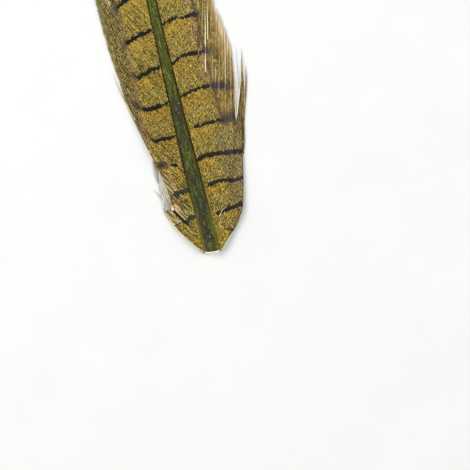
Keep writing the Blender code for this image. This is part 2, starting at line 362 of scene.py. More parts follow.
def gathered_roots(side, b, x, span):
    """The root that each barb seems to have at each station, as locks and strands draw together."""
    root = b.root
    pull = (0.04 + 0.22 * b.lock_own**3)[:, None] * smooth(span, 0.7, 1)
    gathered = root[:, None] + (group_middle(root, b.lock) - root)[:, None] * pull
    pull = (0.1 + 0.25 * b.strand_own)[:, None] * smooth(span, 0.45, 1)
    gathered = gathered + (group_middle(root, b.strand) - root)[:, None] * pull
    if side == LEFT:  # the split pushes its neighbours away
        away = root - SLIT_ROOT
        push = np.sign(away) * np.exp(-np.abs(away) / 1.6)
        gathered = gathered + push[:, None] * SLIT_PUSH * smooth(x, 1, 3.2)
    return gathered


def directions(points):
    """The unit tangent at each station of one strip or more."""
    tangent = np.gradient(points, axis=-2)
    return tangent / np.linalg.norm(tangent, axis=-1, keepdims=True)


def barb_marks(side, b, u, v, gathered):
    """The bars, a little shifted from barb to barb, and where a barb has the loose part's looks."""
    jag = np.random.default_rng(41 + side)
    shift = 0.16 * jag.normal(0, 1, b.strand.max() + 1)[b.strand] + 0.06 * jag.normal(0, 1, len(b.root))
    phase, half, smear = bar_marks(side, u, v, shift[:, None])
    smear = smear * np.clip(0.55 + 0.8 * b.strand_own[:, None], 0, 1)
    turn = v - shaft_half_width(gathered) - VANE_GAP - turn_reach(side, b.root)[:, None]
    outer = smooth(turn, *LOOSE_PAST_TURN[side]) * smooth(u, *LOOSE_FROM[side])
    return (phase, half, smear, gathered), outer


def vane_barbs(side):
    """The barbs of one vane: their middle lines, sizes and marks."""
    b = barb_roots(side)
    reach = barb_reach(side, b.root)
    x = barb_stations(side, b.root, reach * barb_ends(side, b))
    span = np.clip(x / reach[:, None], 0, None)
    gathered = gathered_roots(side, b, x, span)
    loose = smooth(span, 0.55, 1) * LOOSENESS[side]
    own, strand_own, lock_own = b.own[:, None], b.strand_own[:, None], b.lock_own[:, None]

    # middle lines: loose barbs wave, and none passes the cut
    u = barb_u(side, gathered, x)
    u = u + 0.18 * loose * np.sin(3.1 * span + b.wave[:, :1]) * (own - 0.3)
    v = np.maximum(barb_v(side, gathered, x), 0.1)
    v = v + 0.2 * loose * np.sin(4.3 * span + b.wave[:, 1:]) * (strand_own - 0.4)
    u = np.maximum(u, butt_line(side, v) + 0.05 * own)
    z = vane_height(side, gathered, np.maximum(x, 0), reach[:, None])
    z = z + (TILT[side] + 0.03 * loose) * b.strand_place[:, None] * smooth(span, 0, 0.15)
    z = z + (0.22 * lock_own + 0.1 * own * loose) * np.clip(span, 0, 1) ** 2
    points = to_row(u, side * v, z)
    tangent = directions(points)

    # sizes, thinner towards the tip and in bleached barbs
    bars, outer = barb_marks(side, b, u, v, gathered)
    bright = b.bleached[:, None] * outer * smooth(u, 84, 98)
    spacing = PITCH * np.abs(tangent[..., 0])
    tip = np.clip((1 - np.linspace(0, 1, STATIONS)) / 0.16, 0, 1) ** 0.6
    width = 0.5 * spacing * (BREADTH[side] + 0.9 * loose) * tip + 0.05
    width = width * (1 - 0.5 * bright)
    height = (RIDGE[side] + 0.03 * loose) * (0.35 + 0.65 * tip)

    # painted shade: the lower barbs of each strand are darkened, as if their neighbours shaded them
    dark = np.clip(-b.strand_place, 0, 1)[:, None] * (0.5 + 0.5 * strand_own)
    zero = np.zeros_like(u)
    marks = dict(
        marks=bars, barb=(own + zero, dark + zero, outer, zero), place=(span, bright, zero, v / ACROSS_UNIT))
    return dict(points=points, tangent=tangent, width=width, height=height, marks=marks)


def loose_strand(path, above, width, own=0.5, dark=0, outer=0, pale=0, bright=0, bar=0, blunt=0.6):
    """One loose barb along a path of (u, v), at these heights above the vane's middle surface,
    with its colours as masks. It tapers over the last part of its length, blunt of the whole.
    With bar it is black throughout."""
    path = np.array(path, float)
    t = np.linspace(0, 1, len(path))
    s = np.linspace(0, 1, STATIONS)[None]
    u, v = (smooth_curve(list(zip(t, path[:, i])))(s) for i in (0, 1))
    side = LEFT if v.mean() < 0 else RIGHT
    height = surface_height(side, u, np.abs(v)) + np.interp(s, np.linspace(0, 1, len(above)), above)
    points = to_row(u, v, np.maximum(height, 0.12))
    taper = np.clip((1 - s) / blunt, 0, 1) ** 0.8
    zero = 0 * u
    phase, _, smear = bar_marks(side, u, np.abs(v), zero)
    marks = dict(
        marks=(zero + 5 if bar else phase, zero + bar, smear * 0.7, zero + 40 * own),
        barb=(zero + own, zero + dark, zero + outer, zero + pale),
        place=(s, zero + bright, zero, np.abs(v) / ACROSS_UNIT),
    )
    return dict(points=points, tangent=directions(points), width=width / 2 * taper + 0.03,
                height=0.04 + 0.08 * taper, marks=marks)


def fan(lines, count, above, width, chance, **colour):
    """Strands spread evenly between two paths of the same number of points. A colour given as a
    pair runs from the first path to the last."""
    first, last = np.array(lines, float)
    strands = []
    for place in np.linspace(0, 1, count):
        path = first + (last - first) * place
        path[-1, 0] += chance.normal(0, 0.5)
        crown = 0.16 * (1 - (2 * place - 1) ** 2) + chance.uniform(-0.03, 0.03)
        here = {key: float(np.interp(place, (0, 1), np.broadcast_to(value, 2)))
                for key, value in colour.items()}
        strands.append(loose_strand(path, np.array(above) + crown, width, own=chance.random(), **here))
    return strands


def pale_locks():
    """The locks turned over along the left margin, which show their silvery undersides."""
    chance = np.random.default_rng(53)
    long_lock = (((17.4, -11.9), (21.3, -12.3), (26.1, -11.9), (31.6, -10.9)),
                 ((17.8, -9.5), (21.4, -9.5), (25.5, -9.9), (30, -10.5)))
    short_lock = (((27.2, -12.2), (30.5, -12.5), (34.9, -12.3)),
                  ((27.6, -12), (30.5, -12.2), (34.6, -12)))
    end = (((17.1, -10), (17.6, -9.8), (18.5, -9.5)), ((17, -9.4), (17.6, -9.2), (18.3, -9.1)))
    fold = [(21.8, -11.6), (23.3, -11.3), (25, -11)]
    return (fan(long_lock, 17, (0.3, 0.45, 0.45, 0.3), 0.4, chance, pale=(1, 0.45), dark=(0, 0.4))
            + [loose_strand(fold, (0.5, 0.6, 0.5), 0.5, pale=0.4, dark=1.5)]
            + fan(short_lock, 4, (0.25, 0.35, 0.3), 0.3, chance, pale=0.9, dark=0.3)
            + fan(end, 4, (0.5, 0.6, 0.5), 0.36, chance, bright=1, pale=0.5))


def slit_shadow_strips():
    """Black strips under the split in the left vane: a painted shadow that makes the split look dark."""
    lines = (((9.2, -4.4), (11.4, -5.9), (16.6, -10.1)), ((9.8, -4.2), (12.2, -5.5), (17.8, -9.6)))
    return fan(lines, 6, (-0.2, -0.25, -0.2), 0.6, np.random.default_rng(57), bar=0.5, blunt=0.2)


# Strands placed one by one: path, heights above the vane, width and looks.
BUTT_EDGES = {  # the cream barbs that the cut has left along both lower edges
    LEFT: [([(0.5, -3.1), (2, -4.2), (4.15, -5.9), (9.1, -9.15), (12.7, -10.85), (17.8, -12.5)],
            (0.05, 0.12, 0.15), 0.32, dict(own=0.9, bright=0.75, blunt=0.1))],
    RIGHT: [([(0.1, 3), (1, 4.4), (2.8, 6), (5.2, 8.5)],
             (0.05, 0.1), 0.24, dict(own=0.9, bright=0.6, blunt=0.2))],
}
LEFT_WISPS = [
    ([(50, -14.6), (59.7, -17.3), (67.2, -18.5)], (0.2, 0.2, 0.1), 0.3, dict(own=0.7, outer=1, bright=0.6)),
    ([(17, -10.6), (22.4, -12.7), (25.6, -14.4)], (0.5, 0.3, 0.1), 0.3, dict(own=0.3, outer=1, pale=0.8)),
]
RIGHT_WISPS = [  # the last two are the cream barbs along the split
    ([(33, 17.6), (40.6, 19.2), (45.2, 20.5), (49.6, 21.8), (58.9, 23.4), (66.4, 24.7)],
     (-0.3, 0.1, 0.1), 0.3, dict(own=0.9, pale=0.75)),
    ([(32, 17.4), (41, 20.9), (46.3, 22.2), (55.5, 24.2), (65.6, 26.5)],
     (-0.3, 0.35, 0.35, 0.2), 0.7, dict(own=0.1, dark=1.4, outer=1, blunt=0.4)),
    ([(32, 17.6), (41, 21.1), (46.2, 22.7), (52.3, 24.2), (60, 26)],
     (-0.3, 0.3, 0.3, 0.2), 0.4, dict(own=0.9, outer=1, bright=0.12, blunt=0.3)),
    ([(31, 17.4), (40, 21), (46, 22.9), (50.7, 24.4), (55.1, 25.6), (59, 26.4)],
     (-0.3, 0.15, 0.15, 0.1), 0.35, dict(own=0.7, outer=1, bright=0.12, blunt=0.3)),
    ([(52.5, 24.3), (57, 25.3), (61.5, 26.4)], (0.4, 0.4, 0.3), 0.2, dict(own=0.9, outer=1, bright=0.9)),
    ([(42.3, 18.85), (46, 19.6), (52, 20.95), (58, 22.25)],
     (0.2, 0.25, 0.2), 0.24, dict(own=0.9, outer=1, bright=1, blunt=0.3)),
    ([(42.6, 19.1), (46.4, 20.55), (50.9, 22.2), (55.5, 23.6), (59.5, 24.7)],
     (0.3, 0.5, 0.4), 0.3, dict(own=0.9, outer=1, bright=1, blunt=0.5)),
]
BLEACHED_BARBS = [  # on the right vane, each with its path, width and brightness
    ([(60.5, 12.6), (70, 14.75), (80, 17)], 0.3, 1),
    ([(71, 15.8), (76.5, 17), (83, 18.4)], 0.26, 0.9),
    ([(54.4, 18.1), (62, 19.9), (72.3, 22.2)], 0.3, 0.6),
    ([(54, 19.9), (59, 21.2), (65.5, 22.4)], 0.18, 0.5),
    ([(46, 18.3), (54, 20), (62, 21.9)], 0.2, 0.25),
    ([(55.8, 15), (58.7, 15.7), (62, 16.4)], 0.2, 0.45),
]
OTHER_BARBS = [  # the right vane's fold, a dark barb along its margin that is painted shadow, and one barb across its second bar
    ([(64, 10.9), (72, 12.7), (84, 15.1)], (0.2, 0.3, 0.3), 0.5, dict(own=0.2, outer=1, dark=1.7, blunt=0.3)),
    # painted shadow: this dark barb draws a shadow line along the right vane's margin
    ([(30, 18.3), (34, 19.6), (40, 21), (45, 21.8)],
     (0.2, 0.3, 0.3), 0.5, dict(own=0.2, outer=1, dark=1.6, blunt=0.3)),
    ([(11.2, 5.2), (11.9, 5.8), (13.1, 6.9), (13.9, 8.6)], (0.1, 0.2, 0.1), 0.2, dict(own=0.9, bright=0.8)),
]


def placed(rows):
    return [loose_strand(path, above, width, **looks) for path, above, width, looks in rows]


def margin_strands():
    """Single bleached barbs on the right vane, each with a dark one beside it, and the others."""
    chance = np.random.default_rng(67)
    strands = []
    for path, width, bright in BLEACHED_BARBS:
        looks = dict(own=0.9, outer=1, bright=bright, blunt=0.35)
        strands.append(loose_strand(path, (0.2, 0.4, 0.4), width, **looks))
        beside = np.array(path) + (0, 0.3)
        strands.append(loose_strand(beside, (0.15, 0.3, 0.3), 0.3, own=chance.random(), outer=1, dark=1))
    return strands + placed(OTHER_BARBS)


def soft_lock():
    """The thin lock between the right vane and the wisps outside it."""
    chance = np.random.default_rng(59)
    strands = []
    for i, place in enumerate(np.linspace(0, 1, 11)):
        end = chance.uniform(48, 59)
        bend = (46, 20.9 + 1.5 * place + chance.normal(0, 0.15))
        path = [(29 + 2 * place, 16 + 1.2 * place), (34.5, 17.3 + 1.8 * place), (40, 18.7 + 2.2 * place),
                bend, (end, 21.2 + 0.21 * (end - 46) + 1.5 * place)]
        strands.append(loose_strand(path, (-0.35, -0.2, 0.2, 0.15), 0.5, own=chance.random(),
                                    dark=0.9 * (i % 3 == 0), outer=0.8, blunt=0.4))
    return strands


def tip_tuft(side):
    """The last barbs, which grow forward out of the shaft's end and fill the slot in front of it."""
    chance = np.random.default_rng(71 + side)
    strands = []
    for place in np.linspace(0, 1, 7):
        start = (249.5 + 5.5 * (1 - place), side * (0.5 + 0.25 * place))
        middle = (258.5, side * (0.12 + 0.75 * place))
        end = (265.2 - 1.4 * place + chance.normal(0, 0.3), side * (0.1 + 0.35 * place))
        above = (0, 0.12, 0.4 + 0.15 * chance.random())  # their ends curl up
        strands.append(loose_strand((start, middle, end), above, 0.42,
                                    own=chance.random(), dark=0.5 * chance.random()))
    return strands


def loose_strands(side):
    edges = placed(BUTT_EDGES[side]) + tip_tuft(side)
    if side == RIGHT:
        return edges + placed(RIGHT_WISPS) + soft_lock() + margin_strands()
    return edges + pale_locks() + slit_shadow_strips() + placed(LEFT_WISPS)


def put_in_scene(name, data):
    thing = bpy.data.objects.new(name, data)
    bpy.context.scene.collection.objects.link(thing)
    return thing


RING = 4  # points round a barb: left edge, ridge, right edge, keel
KEEL = 3
KEEL_DEPTH = 0.7  # of the keel below the middle line, as a share of the ridge's height above it
LOWEST = 0.02


def build_strips(name, groups, replaced):
    """One mesh of closed strips, four points round, with their marks as attributes."""
    points, tangent, width, height = (
        np.concatenate([g[key] for g in groups]) for key in ("points", "tangent", "width", "height"))
    n, m = width.shape
    across = np.cross(tangent, (0, 0, 1))
    across /= np.linalg.norm(across, axis=2, keepdims=True)
    up = np.cross(across, tangent)
    aside, above = across * width[..., None], up * height[..., None]
    ring = np.stack([points - aside, points + above, points + aside, points - above * KEEL_DEPTH], axis=2)
    ring[..., 2] = np.maximum(ring[..., 2], LOWEST)

    index = np.arange(n * m * RING).reshape(n, m, RING)
    turned = np.roll(index, -1, axis=2)
    sides = np.stack([index[:, :-1], turned[:, :-1], turned[:, 1:], index[:, 1:]], axis=-1).reshape(-1, 4)
    start, end = index[:, 0, ::-1], index[:, -1]
    faces = np.concatenate([sides, start, end])

    mesh = bpy.data.meshes.new(name)
    mesh.from_pydata((ring.reshape(-1, 3) * MM).tolist(), [], faces.tolist(), shade_flat=False)

    for key in groups[0]["marks"]:
        channels = [np.concatenate([g["marks"][key][i] for g in groups]) for i in range(4)]
        values = np.repeat(np.stack(channels, axis=-1)[:, :, None], RING, axis=2).astype(np.float32)
        if key == "place":
            values[:, :, KEEL, 2] = 1  # the underside
        attribute = mesh.attributes.new(key, "FLOAT_COLOR", "POINT")
        attribute.data.foreach_set("color", values.ravel())

    # each barb has its own column of the map, and each of its faces a place in it
    column = (np.arange(n)[:, None, None, None] + np.zeros((n, m - 1, RING, 4))) / n
    inside = (np.arange(RING)[:, None] + np.array([0, 1, 1, 0])) / RING
    map_u = column + (0.04 + 0.92 * inside)[None, None] / n
    map_v = (np.arange(m - 1)[:, None, None] + np.array([0, 0, 1, 1])) / m + np.zeros((n, 1, RING, 1))
    side_map = np.stack([map_u, map_v], axis=-1).reshape(-1, 2)
    cap = np.array([[0.1, 0.1], [0.4, 0.1], [0.4, 0.8], [0.1, 0.8]])
    cap_v = np.broadcast_to((m - 1 + cap[:, 1]) / m, (n, 4))
    cap_us = [(np.arange(n)[:, None] + cap[:, 0] + shift) / n for shift in (0, 0.5)]
    cap_maps = [np.stack([cap_u, cap_v], axis=-1).reshape(-1, 2) for cap_u in cap_us]
    layer = mesh.uv_layers.new(name="OFBake")
    layer.data.foreach_set("uv", np.concatenate([side_map] + cap_maps).astype(np.float32).ravel())

    mesh.validate()
    thing = put_in_scene(name, mesh)
    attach(thing, "root")
    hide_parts(replaced)
    return thing


# --- Materials ---


def srgb(red, green, blue):
    """A colour given as a screen shows it, in the linear values that a shader takes."""
    shown = (red / 255, green / 255, blue / 255)
    return (*(c / 12.92 if c <= 0.04045 else ((c + 0.055) / 1.055) ** 2.4 for c in shown), 1)


class Tree:
    """Adds nodes to a material. Each method gives back the socket with the result."""

    def __init__(self, name):
        self.material = bpy.data.materials.new(name)
        self.material.use_nodes = True
        self.nodes = self.material.node_tree.nodes
        self.shader = self.nodes["Principled BSDF"]

    def put(self, socket, value):
        if isinstance(value, bpy.types.NodeSocket):
            self.material.node_tree.links.new(value, socket)
        else:
            socket.default_value = value

    def node(self, kind, inputs, output=0, **settings):
        """Adds a node with these inputs and settings, and gives back this output of it."""
        node = self.nodes.new("ShaderNode" + kind)
        for name, value in settings.items():
            setattr(node, name, value)
        for key, value in inputs.items():
            self.put(node.inputs[key], value)
        return node.outputs[output]

    def attribute(self, name):
        colour = self.node("Attribute", {}, "Color", attribute_name=name)
        split = self.node("SeparateColor", {0: colour}).node
        return (*split.outputs[:3], colour.node.outputs["Alpha"])

    def math(self, operation, a, b=0, c=0):
        return self.node("Math", {0: a, 1: b, 2: c}, operation=operation)

    def plus(self, a, b):
        return self.math("ADD", a, b)

    def minus(self, a, b):
        return self.math("SUBTRACT", a, b)

    def times(self, a, b):
        return self.math("MULTIPLY", a, b)

    def ramp(self, value, low, high, to_low=0, to_high=1):
        inputs = {0: value, 1: low, 2: high, 3: to_low, 4: to_high}
        return self.node("MapRange", inputs, interpolation_type="SMOOTHSTEP")

    def fall(self, value, low, high):
        return self.ramp(value, low, high, 1, 0)

    def band(self, value, low, full, falling, gone):
        """0 up to low, 1 from full to falling, and 0 again from gone on."""
        return self.times(self.ramp(value, low, full), self.fall(value, falling, gone))

    def mix(self, share, a, b):
        """A mix of two numbers or colours. A colour of three numbers is as a screen shows it."""
        a, b = (srgb(*given) if isinstance(given, tuple) and len(given) == 3 else given for given in (a, b))
        return self.node("Mix", {0: share, 6: a, 7: b}, 2, data_type="RGBA")

    def layers(self, colour, *rows):
        """Lays one colour after another over the first. Each row has a share and a colour."""
        for share, laid in rows:
            colour = self.mix(share, colour, laid)
        return colour

    def place(self):
        return self.node("TexCoord", {}, "Object")

    def stretch(self, vector, length, turn=0):
        """Draws the pattern out along Y, after a turn of the plane by these degrees."""
        inputs = {"Vector": vector, "Rotation": (0, 0, math.radians(turn)), "Scale": (1, length, 1)}
        return self.node("Mapping", inputs, vector_type="TEXTURE")

    def vector(self, x, y):
        return self.node("CombineXYZ", {0: x, 1: y})

    def noise(self, vector, scale, detail=1, rough=0.5):
        inputs = {"Vector": vector, "Scale": scale, "Detail": detail, "Roughness": rough}
        return self.node("TexNoise", inputs, "Fac")

    def stripes(self, vector, period, distortion):
        """Soft stripes across the X of this vector, one to each period in metres."""
        inputs = {"Vector": vector, "Scale": math.pi / 10 / period, "Distortion": distortion}
        return self.node("TexWave", {**inputs, "Detail Scale": 1.6}, "Fac")

    def bump(self, height, strength, distance):
        inputs = {"Height": height, "Strength": strength, "Distance": distance}
        self.put(self.shader.inputs["Normal"], self.node("Bump", inputs))

    def finish(self, colour, roughness, specular):
        self.put(self.shader.inputs["Base Color"], colour)
        self.put(self.shader.inputs["Roughness"], roughness)
        self.put(self.shader.inputs["Specular IOR Level"], specular)
        return self.material


# Degrees by which the barbules, the dashes of the inner part and those of the loose part turn.
TURNS = {LEFT: (-53.7, 32, 12.3), RIGHT: (21.3, -30, -13)}
HATCH_PERIOD = 0.00078  # in metres, of the hatching that the barbules make
BARB_PAIRS = 5.07  # radians to a mm of roots: one wave to every two barbs

# Colours as a screen shows them. Pairs are mixed by a mask.
KHAKI, GOLD, DEEP_OLIVE = (144, 130, 61), (184, 145, 32), (76, 66, 20)
DULL, GREENISH, ORANGE = (146, 130, 82), (126, 134, 60), (198, 126, 46)
STRAW, SAND, FLAP, BLUSH = (214, 178, 84), (200, 172, 96), (206, 176, 130), (184, 142, 108)
LOOSE = {LEFT: ((78, 72, 46), (108, 101, 66)), RIGHT: ((124, 107, 62), (164, 130, 69))}
HATCHED = (112, 100, 66), (134, 122, 80)
# DARK_AND_SHADED_BARB darkens the strands given as dark, and is painted shade on the lower barbs of each
# strand
LINE, DARK_AND_SHADED_BARB, DARK_DASH = (64, 52, 14), (58, 44, 22), (62, 46, 12)
LIT, LIT_LOOSE, LIT_RUFFLES, LIT_HATCHING = (222, 195, 96), (212, 192, 130), (236, 212, 164), (190, 172, 116)
DARK_SPECKS = (46, 52, 14), (78, 42, 8)  # greenish and orange
LIGHT_SPECKS = (216, 204, 104), (240, 192, 74)
GROUND_SPECKS = (216, 197, 98), (234, 198, 78)  # on khaki and on gold
FADED = {LEFT: (168, 156, 102), RIGHT: (216, 184, 122)}
# TIP_GLOW is painted light at the ends of the right vane's loose barbs; BLEACHED is the colour of bleached
# barbs
TIP_GLOW, BLEACHED = (246, 226, 184), (255, 247, 206)
LEFT_CREASE, RIGHT_CREASE = ((84, 62, 52), (176, 144, 112)), (78, 58, 46)
SMEAR = {LEFT: (60, 46, 48), RIGHT: (55, 50, 54)}
BLACK, SLATE, WORN = (14, 14, 8), (78, 86, 72), (74, 62, 70)
BLACK_SPECKS = {LEFT: (46, 56, 52), RIGHT: (58, 50, 30)}
SILVER, LILAC, GREY = ((156, 150, 134), (232, 229, 218)), (158, 140, 150), (120, 112, 92)
UNDERSIDE = (150, 142, 98)


def barb_noise(t, m, per_mm, per_reach, detail, rough):
    """Noise that stays with each barb: so fine for a mm of roots, and for a whole reach."""
    return t.noise(t.vector(t.times(m.root, per_mm), t.times(m.span, per_reach)), 1, detail, rough)


def vane_masks(t, side):
    """By name: what each barb carries, and the patterns that run over its vane."""
    m = SimpleNamespace()
    m.phase, m.half, m.smear, m.root = t.attribute("marks")
    m.own, m.dark, m.outer, m.pale = t.attribute("barb")
    m.span, m.bright, m.under, m.across = t.attribute("place")
    m.inner = t.minus(1, m.outer)
    m.fraction = t.math("FRACT", m.phase)

    place = t.place()
    m.speckle = t.noise(place, 3400, 2, 0.6)
    m.lumps = t.noise(place, 900)
    m.tint = t.noise(place, 620, 2, 0.6)
    patches = t.times(t.minus(t.noise(place, 190, 2), 0.5), 0.8)
    m.warm = t.ramp(t.plus(t.ramp(m.fraction, 0.2, 1), patches), 0, 1)
    m.fine = barb_noise(t, m, 1.9, 12, 1, 0.6)
    m.coarse = barb_noise(t, m, 0.55, 2.5, 2, 0.7)
    barbule_turn, inner_turn, outer_turn = TURNS[side]
    m.barbules = t.noise(t.stretch(place, 6, barbule_turn), 2400)
    m.hatch = t.stripes(t.stretch(place, 1, barbule_turn), HATCH_PERIOD, 6)
    inner_dashes = t.noise(t.stretch(place, 2.4, inner_turn), 2400)
    m.outer_dashes = t.noise(t.stretch(place, 4.5, outer_turn), 2400)
    m.dashes = t.mix(m.outer, inner_dashes, m.outer_dashes)

    if side == LEFT:  # the barbs round the split are ruffled, most of all beyond the first bar
        m.beyond_line = t.ramp(m.phase, 0.9, 1.05)
        ruffled = t.times(t.fall(m.root, 12, 27), t.ramp(m.across, 0.13, 0.26))
        m.ruffled = t.times(ruffled, t.ramp(m.beyond_line, 0, 1, 0.3, 1))
    else:  # the outer part is hatched up to the fifth bar
        m.hatching = t.times(t.ramp(m.across, 0.46, 0.6), t.fall(m.phase, 3.5, 4.1))
    return m


def inner_ground(t, m, shaded):
    """Khaki that turns gold before each bar, duller outward, with greenish and orange lumps."""
    return t.layers(
        t.mix(m.warm, KHAKI, GOLD),
        (shaded, DEEP_OLIVE),
        (t.ramp(m.across, 0.3, 0.95, 0, 0.45), DULL),
        (t.ramp(m.tint, 0.38, 0.5, 0.26, 0), GREENISH),
        (t.ramp(m.tint, 0.52, 0.66, 0, 0.26), ORANGE))


def outer_ground(t, m, ground, blush, strip):
    """A blush next to the turn of the barbs, and the strip of loose barbs beyond it."""
    return t.layers(ground, (t.times(blush, 0.65), BLUSH), (t.times(m.outer, 0.85), strip))


def left_ground(t, m):
    shaded = t.math("MINIMUM", t.ramp(m.phase, 2.2, 3.2, 0.17, 0.26), t.ramp(m.phase, 3.7, 5.5, 0.26, 0))
    lighter = t.times(t.ramp(m.fraction, 0.35, 0.7), t.ramp(m.phase, 5, 6.6, 0, 0.3))
    beside_split = t.times(t.ramp(m.across, 0.3, 0.38), m.beyond_line)
    flap = t.times(t.fall(m.root, SLIT_ROOT - 0.2, SLIT_ROOT), beside_split)
    ground = t.layers(
        inner_ground(t, m, shaded),
        (t.plus(lighter, t.ramp(m.phase, 5.8, 6.8, 0, 0.3)), STRAW),
        (t.ramp(m.across, 0.15, 0.5, 0.1, 0), DEEP_OLIVE),
        (t.ramp(m.across, 0.25, 0.5, 0, 0.14), SAND),
        (t.times(flap, 0.6), FLAP))
    blush = t.times(t.band(m.phase, 1.9, 2.2, 3.2, 3.6), t.band(m.across, 0.29, 0.36, 0.4, 0.5))
    return outer_ground(t, m, ground, blush, t.mix(m.own, *LOOSE[LEFT]))


def right_ground(t, m):
    ground = inner_ground(t, m, t.ramp(m.phase, 5.6, 6.4, 0.28, 0.15))
    before_turn = t.times(t.ramp(m.across, 0.48, 0.6), t.fall(m.outer, 0, 0.7))
    blush = t.times(t.ramp(m.phase, 4.5, 5.5), before_turn)
    ground = outer_ground(t, m, ground, blush, t.mix(t.ramp(m.tint, 0.4, 0.6), *LOOSE[RIGHT]))
    return t.mix(t.times(m.hatching, 0.75), ground, t.mix(t.ramp(m.phase, 2.8, 3.4), *HATCHED))


def left_lines(t, m):
    """Barbs and barbules as lines: their pattern, strength and lit colour, and the specks' strength."""
    pairs = t.math("SINE", t.plus(t.times(m.root, BARB_PAIRS), t.times(m.tint, 2.5)))
    pairs = t.math("MULTIPLY_ADD", pairs, 0.25, 0.5)
    inner = t.mix(0.7, m.fine, t.mix(0.75, m.barbules, pairs))
    outer = t.mix(0.5, t.mix(0.35, m.coarse, m.outer_dashes), t.ramp(m.hatch, 0, 1, 0.32, 0.72))
    lines = t.minus(t.mix(m.outer, inner, outer), t.times(m.outer, 0.035))
    ruffles = t.ramp(barb_noise(t, m, 1.3, 3, 1, 0.5), 0.4, 0.6, 0.34, 0.66)
    lines = t.mix(m.ruffled, lines, ruffles)
    strength = t.ramp(m.outer, 0, 1, 0.9, 1)
    lit = t.mix(m.ruffled, t.mix(m.outer, LIT, LIT_LOOSE), LIT_RUFFLES)
    specks = t.ramp(m.outer, 0, 1, t.ramp(m.phase, 5.6, 6.2, 0.9, 0.75), 0.6)
    return lines, strength, lit, t.times(specks, t.ramp(m.ruffled, 0, 1, 1, 0.5))


def right_lines(t, m):
    """The same for the right vane."""
    lines = t.mix(t.times(m.inner, 0.75), t.mix(m.outer, m.fine, m.coarse), m.barbules)
    lines = t.mix(t.times(m.hatching, 0.75), lines, t.ramp(m.hatch, 0, 1, 0.34, 0.66))
    strength = t.math("MAXIMUM", t.ramp(m.outer, 0, 1, 0.6, 0.9), t.times(m.hatching, 0.85))
    lit = t.mix(m.hatching, t.mix(m.outer, LIT, LIT_LOOSE), LIT_HATCHING)
    specks = t.ramp(m.outer, 0, 1, 0.8, 0.6)
    return lines, strength, lit, t.times(specks, t.ramp(m.hatching, 0, 1, 1, 0.6))


def add_lines(t, side, m, ground):
    """The lines, and painted shade on the barbs that lie deeper than their neighbours, in a colour that also
    darkens the strands given as dark.
    """
    return t.layers(
        ground,
        (t.times(t.fall(m.lines, 0.41, 0.52), m.strength), LINE),
        (t.times(t.ramp(m.lines, 0.52, 0.62, 0, 0.7), m.strength), m.lit),
        (t.times(m.dark, 0.45), DARK_AND_SHADED_BARB))


def add_specks(t, side, m, ground):
    """Dark and light specks, then dark and lit dashes."""
    hue = t.ramp(m.barbules, 0.42, 0.58)
    light_colour = t.mix(0.5, t.mix(hue, *LIGHT_SPECKS), t.mix(m.warm, *GROUND_SPECKS))
    dark = t.fall(m.speckle, {LEFT: 0.42, RIGHT: 0.39}[side], 0.51)
    light = t.ramp(m.speckle, 0.53, {LEFT: 0.61, RIGHT: 0.64}[side], 0, 0.85)
    return t.layers(
        ground,
        (t.times(dark, m.specks), t.mix(hue, *DARK_SPECKS)),
        (t.times(light, m.specks), light_colour),
        (t.ramp(m.dashes, 0.3, 0.42, 0.8, 0), DARK_DASH),
        (t.ramp(m.dashes, 0.6, 0.72, 0, 0.6), m.lit))


def add_ends(t, side, m, ground):
    """Loose barbs fade towards their ends, and on the right vane their ends get a painted glow of light. Some
    barbs are bleached from end to end.
    """
    ground = t.mix(t.times(t.ramp(m.span, 0.82, 1, 0, 0.5), m.outer), ground, FADED[side])
    if side == RIGHT:
        # painted light: the ends of the right vane's loose barbs glow as if lit through
        ground = t.mix(t.times(t.ramp(m.span, 0.95, 1.01, 0, 0.65), m.outer), ground, TIP_GLOW)
    return t.mix(t.times(m.bright, 0.95), ground, BLEACHED)


def add_crease(t, side, m, ground):
    """A brown line along the turn of the barbs, in patches on the left."""
    if side == LEFT:
        depth, most = t.ramp(m.lumps, 0.4, 0.6, 0.5, 3.4), 0.65
        colour = t.mix(t.ramp(m.speckle, 0.42, 0.58), *LEFT_CREASE)
    else:
        depth, most, colour = 3, 0.8, RIGHT_CREASE
    crease = t.times(t.times(m.outer, m.inner), depth)
    return t.mix(t.math("MINIMUM", crease, most), ground, colour)


def add_bars(t, side, m, ground):
    """The dark bars, slate next to the butt, and the smears that they run out in."""
    distance = t.plus(t.math("PINGPONG", m.phase, 0.5), t.times(t.minus(m.lumps, 0.5), 0.16))
    shade = t.times(t.times(m.smear, {LEFT: 1, RIGHT: 1.2}[side]), t.fall(distance, 0.04, 0.2))
    smeared = t.mix(t.times(shade, t.ramp(m.lines, 0.4, 0.62, 1, 0.7)), ground, SMEAR[side])
    in_bar = t.times(t.fall(t.minus(distance, m.half), -0.014, 0.01), t.ramp(m.half, 0.012, 0.035))
    slate = t.ramp(m.phase, {LEFT: 2.4, RIGHT: 0.4}[side], {LEFT: 2.7, RIGHT: 0.7}[side], 0.4, 0)
    black = t.mix(t.ramp(m.speckle, 0.45, 0.75), BLACK, BLACK_SPECKS[side])
    if side == RIGHT:
        worn = t.times(t.ramp(m.across, 0.52, 0.72, 0, 0.8), t.ramp(m.speckle, 0.42, 0.58))
        black = t.mix(worn, black, WORN)
    return t.mix(in_bar, smeared, t.mix(slate, black, SLATE))


def add_undersides(t, side, m, colour):
    """The barbs that are turned over, silvery and in one stretch lilac, and each barb's own keel."""
    lilac = t.times(t.ramp(m.phase, 1.5, 1.65), t.ramp(m.phase, 1.85, 1.95, 0.7, 0))
    silver = t.layers(
        t.mix(t.ramp(m.coarse, 0.3, 0.62), *SILVER),
        (t.times(lilac, t.ramp(m.dark, 0, 0.3)), LILAC),
        (t.times(m.dark, 0.4), GREY))
    return t.layers(colour, (m.pale, silver), (t.times(m.under, 0.6), UNDERSIDE))


